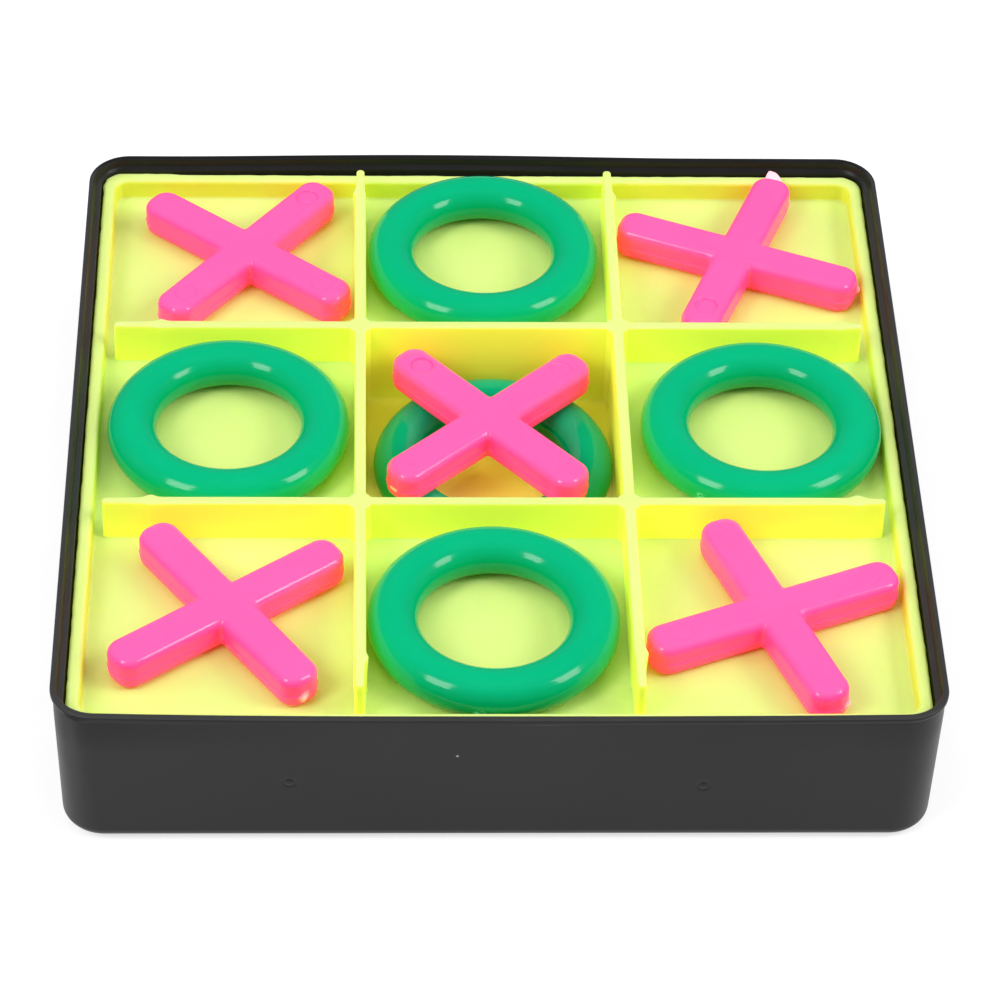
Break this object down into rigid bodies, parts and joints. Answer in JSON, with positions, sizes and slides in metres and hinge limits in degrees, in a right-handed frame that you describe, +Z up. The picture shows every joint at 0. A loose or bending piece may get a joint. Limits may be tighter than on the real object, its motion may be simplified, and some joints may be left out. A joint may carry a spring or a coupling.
{
  "type": "tic tac toe set",
  "caption": "Boxed noughts-and-crosses game: a square tray with a lift-out ribbed board insert, loose rings and loose crosses lying in its cells.",
  "frame": {"origin": "middle of the tray's underside, on the table", "axes": "+Z up, +Y towards the far side of the board, +X to the right"},
  "size_m": [0.1, 0.1005, 0.0212],
  "materials": {
    "black_plastic": "satin black moulded plastic",
    "yellow_plastic": "translucent neon yellow moulded plastic",
    "green_plastic": "glossy green moulded plastic",
    "pink_plastic": "glossy neon pink moulded plastic"
  },
  "bodies": {
    "box": {"box_base": "black_plastic"},
    "board": {"board_insert": "yellow_plastic"},
    "ring_back": {"ring_back": "green_plastic"},
    "ring_left": {"ring_left": "green_plastic"},
    "ring_right": {"ring_right": "green_plastic"},
    "ring_front": {"ring_front": "green_plastic"},
    "ring_centre": {"ring_centre": "green_plastic"},
    "cross_back_left": {"cross_back_left": "pink_plastic"},
    "cross_back_right": {"cross_back_right": "pink_plastic"},
    "cross_front_left": {"cross_front_left": "pink_plastic"},
    "cross_front_right": {"cross_front_right": "pink_plastic"},
    "cross_centre": {"cross_centre": "pink_plastic"}
  },
  "joints": [
    {"name": "board_lift", "type": "slide", "parent": "box", "child": "board", "axis": [0, 0, 1], "range_m": [0, 0.025]},
    {"name": "ring_back_lift", "type": "slide", "parent": "board", "child": "ring_back", "axis": [0, 0, 1], "range_m": [0, 0.02]},
    {"name": "ring_left_lift", "type": "slide", "parent": "board", "child": "ring_left", "axis": [0, 0, 1], "range_m": [0, 0.02]},
    {"name": "ring_right_lift", "type": "slide", "parent": "board", "child": "ring_right", "axis": [0, 0, 1], "range_m": [0, 0.02]},
    {"name": "ring_front_lift", "type": "slide", "parent": "board", "child": "ring_front", "axis": [0, 0, 1], "range_m": [0, 0.02]},
    {"name": "ring_centre_lift", "type": "slide", "parent": "board", "child": "ring_centre", "axis": [0, 0, 1], "range_m": [0, 0.02]},
    {"name": "cross_back_left_lift", "type": "slide", "parent": "board", "child": "cross_back_left", "axis": [0, 0, 1], "range_m": [0, 0.02]},
    {"name": "cross_back_right_lift", "type": "slide", "parent": "board", "child": "cross_back_right", "axis": [0, 0, 1], "range_m": [0, 0.02]},
    {"name": "cross_front_left_lift", "type": "slide", "parent": "board", "child": "cross_front_left", "axis": [0, 0, 1], "range_m": [0, 0.02]},
    {"name": "cross_front_right_lift", "type": "slide", "parent": "board", "child": "cross_front_right", "axis": [0, 0, 1], "range_m": [0, 0.02]},
    {"name": "cross_centre_lift", "type": "slide", "parent": "ring_centre", "child": "cross_centre", "axis": [0, 0, 1], "range_m": [0, 0.02]}
  ]
}
